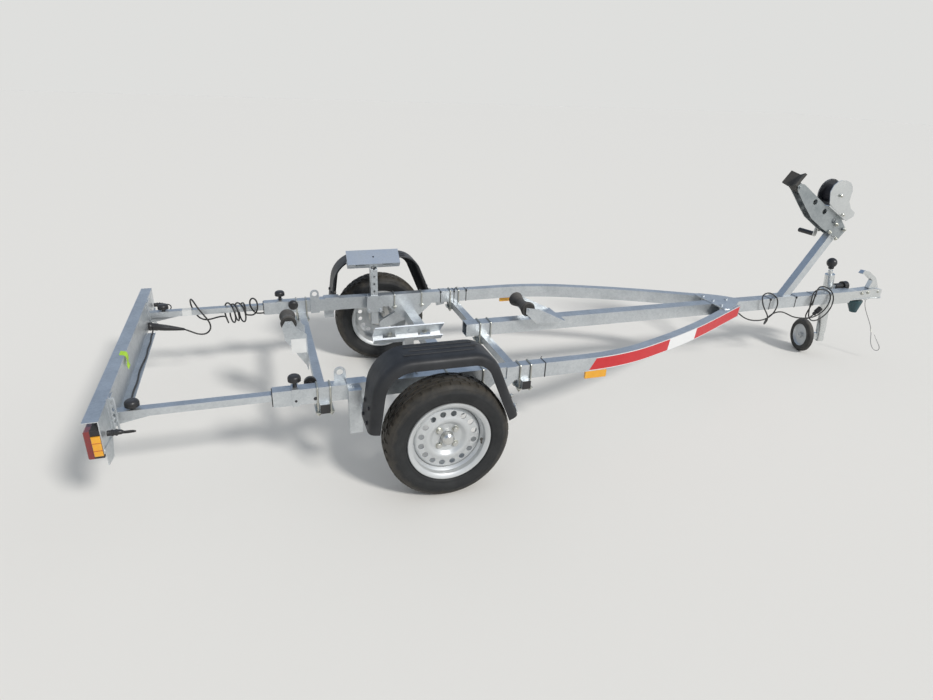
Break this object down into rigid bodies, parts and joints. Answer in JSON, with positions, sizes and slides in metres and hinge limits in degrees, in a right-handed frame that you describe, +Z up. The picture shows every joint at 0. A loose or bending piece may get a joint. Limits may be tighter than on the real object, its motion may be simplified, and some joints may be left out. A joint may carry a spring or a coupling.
{
  "type": "boat trailer",
  "caption": "Single-axle boat trailer: two side rails meeting a drawbar, telescoping light board, keel rollers, winch post with bow stop and a swivelling jockey wheel.",
  "frame": {"origin": "middle of the overall box, on the floor", "axes": "+X forward to the coupling, +Y to the left side, +Z up"},
  "size_m": [4.633, 1.65, 1.2521],
  "materials": {
    "amber_lens": "gloss",
    "black_plastic": "satin",
    "black_rubber": "matte",
    "cable": "matte",
    "dark_plastic": "satin",
    "galvanised_steel": "satin",
    "lamp_lens": "gloss",
    "silver_paint": "satin",
    "strap_webbing": "matte",
    "tyre_rubber": "matte",
    "winch_paint": "satin",
    "zinc_plate": "satin"
  },
  "bodies": {
    "frame": {"arm_clamp_knobs": "black_plastic", "arm_clamps": "galvanised_steel", "arm_guides": "black_plastic", "axle_hangers": "galvanised_steel", "axle_tube": "galvanised_steel", "beam_end_caps": "black_plastic", "bow_block": "black_rubber", "bow_stop_frame": "galvanised_steel", "cable_plug": "black_plastic", "coupling_handle": "galvanised_steel", "coupling_head": "galvanised_steel", "cross_beam_front": "galvanised_steel", "cross_beam_rear": "galvanised_steel", "drawbar": "galvanised_steel", "drawbar_cable": "cable", "fender_brackets": "galvanised_steel", "fender_left": "black_plastic", "fender_right": "black_plastic", "jockey_clamp": "galvanised_steel", "jockey_clamp_grip": "black_plastic", "jockey_crank": "galvanised_steel", "jockey_knob": "black_plastic", "jockey_tube": "galvanised_steel", "keel_brackets": "galvanised_steel", "plug_holder": "dark_plastic", "safety_cable": "galvanised_steel", "side_rail_left": "galvanised_steel", "side_rail_right": "galvanised_steel", "side_reflectors": "amber_lens", "support_plates": "galvanised_steel", "support_posts": "galvanised_steel", "suspension_arms": "galvanised_steel", "tie_down_eyes": "galvanised_steel", "v_joint_plates": "galvanised_steel", "winch_crank": "galvanised_steel", "winch_drum": "zinc_plate", "winch_frame": "winch_paint", "winch_grip": "black_plastic", "winch_post": "galvanised_steel", "winch_strap": "strap_webbing"},
    "wheel_left": {"tyre_left": "tyre_rubber", "rim_left": "silver_paint", "hub_left": "zinc_plate"},
    "wheel_right": {"tyre_right": "tyre_rubber", "rim_right": "silver_paint", "hub_right": "zinc_plate"},
    "roller_front": {"keel_roller_front": "black_rubber"},
    "roller_rear": {"keel_roller_rear": "black_rubber"},
    "light_board_slide": {"arm_cable": "cable", "arm_cable_coil": "cable", "board_arms": "galvanised_steel", "board_brackets": "galvanised_steel", "board_knobs": "black_plastic", "lamp_lenses": "lamp_lens", "light_board": "galvanised_steel", "rear_lamps": "black_plastic"},
    "jockey_nut": {"jockey_spindle_nut": "galvanised_steel"},
    "jockey_leg": {"jockey_leg": "galvanised_steel"},
    "jockey_wheel": {"jockey_tyre": "black_rubber", "jockey_rim": "silver_paint"}
  },
  "joints": [
    {"name": "wheel_left_spin", "type": "hinge", "parent": "frame", "child": "wheel_left", "pos_m": [-0.9835, 0.7385, 0.2735], "axis": [0, 1, 0], "continuous": true},
    {"name": "wheel_right_spin", "type": "hinge", "parent": "frame", "child": "wheel_right", "pos_m": [-0.9835, -0.7385, 0.2735], "axis": [0, 1, 0], "continuous": true},
    {"name": "roller_front_spin", "type": "hinge", "parent": "frame", "child": "roller_front", "pos_m": [-0.3375, 0, 0.56], "axis": [0, 1, 0], "continuous": true},
    {"name": "roller_rear_spin", "type": "hinge", "parent": "frame", "child": "roller_rear", "pos_m": [-1.5695, 0, 0.57], "axis": [0, 1, 0], "continuous": true},
    {"name": "light_board_pull_out", "type": "slide", "parent": "frame", "child": "light_board_slide", "axis": [-1, 0, 0], "range_m": [0, 0.25]},
    {"name": "jockey_raise", "type": "slide", "parent": "frame", "child": "jockey_nut", "axis": [-0.1478, 0, 0.989], "range_m": [-0.2, 0.01]},
    {"name": "jockey_swivel", "type": "hinge", "parent": "jockey_nut", "child": "jockey_leg", "pos_m": [1.9583, 0.09, 0.445], "axis": [-0.1478, 0, 0.989], "continuous": true},
    {"name": "jockey_wheel_spin", "type": "hinge", "parent": "jockey_leg", "child": "jockey_wheel", "pos_m": [1.9025, 0.144, 0.115], "axis": [-0.97, 0.243, 0], "continuous": true}
  ]
}
